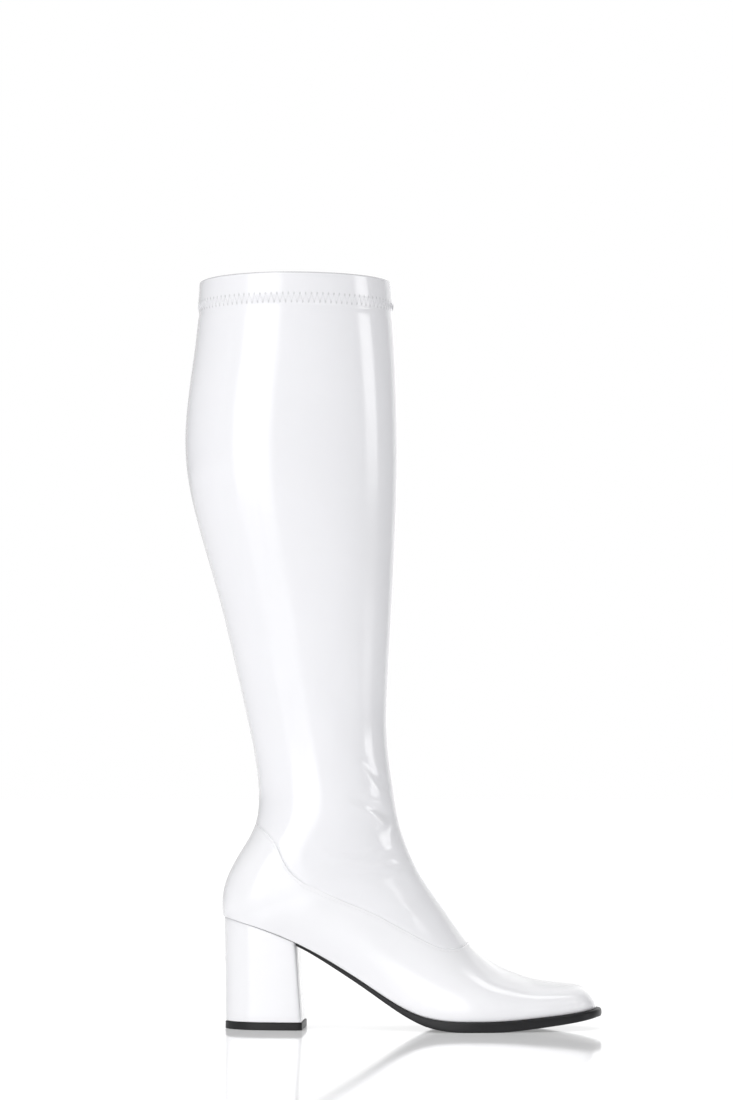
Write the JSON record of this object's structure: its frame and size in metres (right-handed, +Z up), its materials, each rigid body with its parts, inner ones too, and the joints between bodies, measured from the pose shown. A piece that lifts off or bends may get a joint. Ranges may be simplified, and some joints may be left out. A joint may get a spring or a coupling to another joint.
{
  "type": "go-go boot",
  "caption": "Knee-high white patent stretch boot with a square toe, a covered block heel and a thin black sole, hollow and open at the collar.",
  "frame": {"origin": "middle of the top lift's underside, on the floor", "axes": "+Z up the leg, +X towards the toe, +Y towards the inner side of the foot"},
  "size_m": [0.2732, 0.1104, 0.4911],
  "materials": {
    "white_patent": "high-gloss white patent",
    "white_stretch_patent": "high-gloss white stretch patent",
    "insole_lining": "matt lining",
    "black_sole": "satin black"
  },
  "bodies": {
    "root": {"upper": "white_patent", "shaft": "white_stretch_patent", "insole": "insole_lining", "outsole": "black_sole", "heel": "white_patent", "top_lift": "black_sole"}
  },
  "joints": []
}
